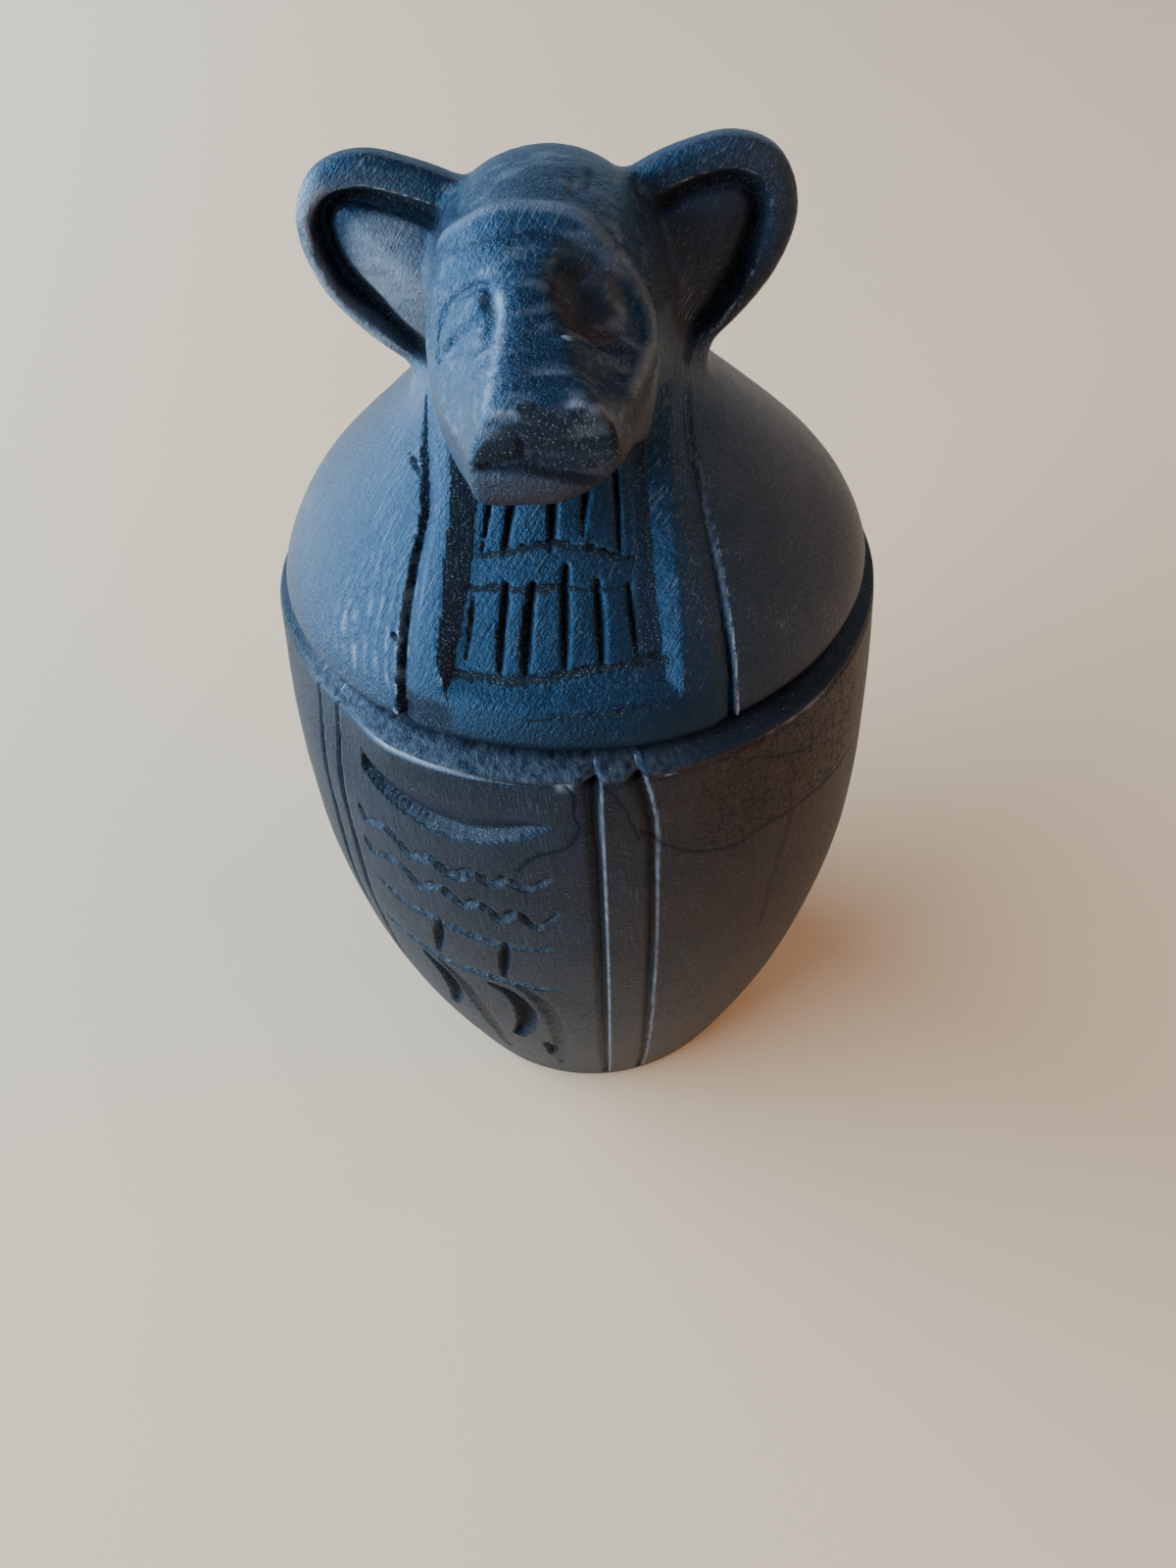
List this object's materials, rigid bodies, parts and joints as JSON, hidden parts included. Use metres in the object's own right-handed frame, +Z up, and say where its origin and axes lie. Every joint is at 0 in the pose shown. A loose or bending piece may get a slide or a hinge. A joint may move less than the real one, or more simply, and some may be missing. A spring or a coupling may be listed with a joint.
{
  "type": "canopic jar",
  "caption": "Small carved stone canopic jar: a hollow ovoid vessel with strokes cut in a bordered panel and a loose domed lid topped by an animal's head with wide ears.",
  "frame": {"origin": "centre of the jar's underside", "axes": "+Z up along the jar's axis, and the animal's head looks along -Y"},
  "size_m": [0.057, 0.057, 0.1013],
  "materials": {
    "jar": "satin",
    "lid": "satin"
  },
  "bodies": {
    "root": {"jar": "jar", "lid": "lid"}
  },
  "joints": []
}
